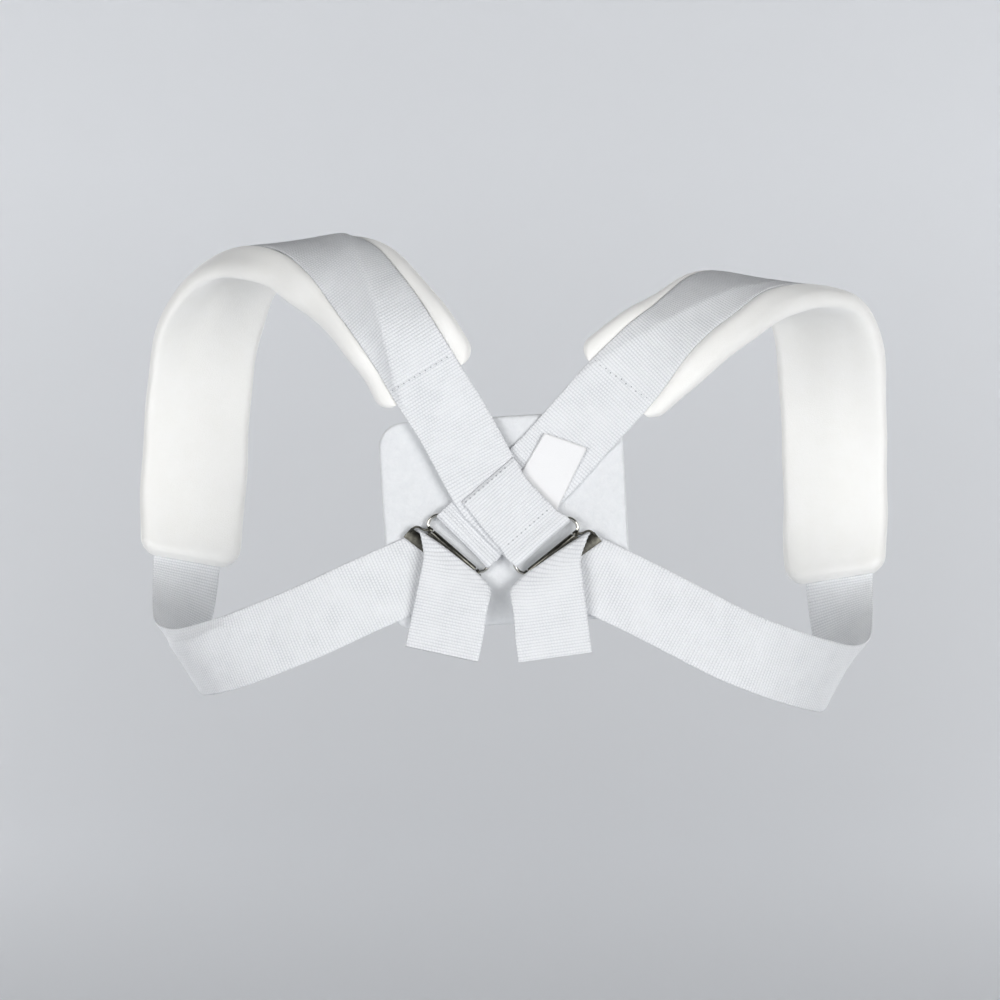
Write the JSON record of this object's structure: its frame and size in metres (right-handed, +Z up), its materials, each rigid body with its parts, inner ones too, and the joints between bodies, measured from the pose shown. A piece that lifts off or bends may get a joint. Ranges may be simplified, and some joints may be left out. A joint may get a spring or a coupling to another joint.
{
  "type": "clavicle brace",
  "caption": "Figure-of-eight clavicle brace: webbing loops cross on a felt back pad, run over padded shoulders and under the arms, and tighten through hinged wire buckles.",
  "frame": {"origin": "middle of the back pad's inner face, where it lies on the wearer's back", "axes": "+Z up, +Y the way the wearer faces, +X to the wearer's right"},
  "size_m": [0.3999, 0.1496, 0.2482],
  "materials": {
    "webbing": "white woven cotton webbing with a fine crosswise rib",
    "pad": "warm white brushed fabric over soft foam",
    "felt": "white pressed felt",
    "steel": "bright nickel-plated steel wire and strip",
    "label": "blank white satin tape"
  },
  "bodies": {
    "root": {"back_pad": "felt", "left_webbing_strap": "webbing", "right_webbing_strap": "webbing", "left_shoulder_pad": "pad", "right_shoulder_pad": "pad", "left_buckle_ring": "steel", "right_buckle_ring": "steel", "left_buckle_frame": "steel", "right_buckle_frame": "steel", "label": "label"}
  },
  "joints": []
}
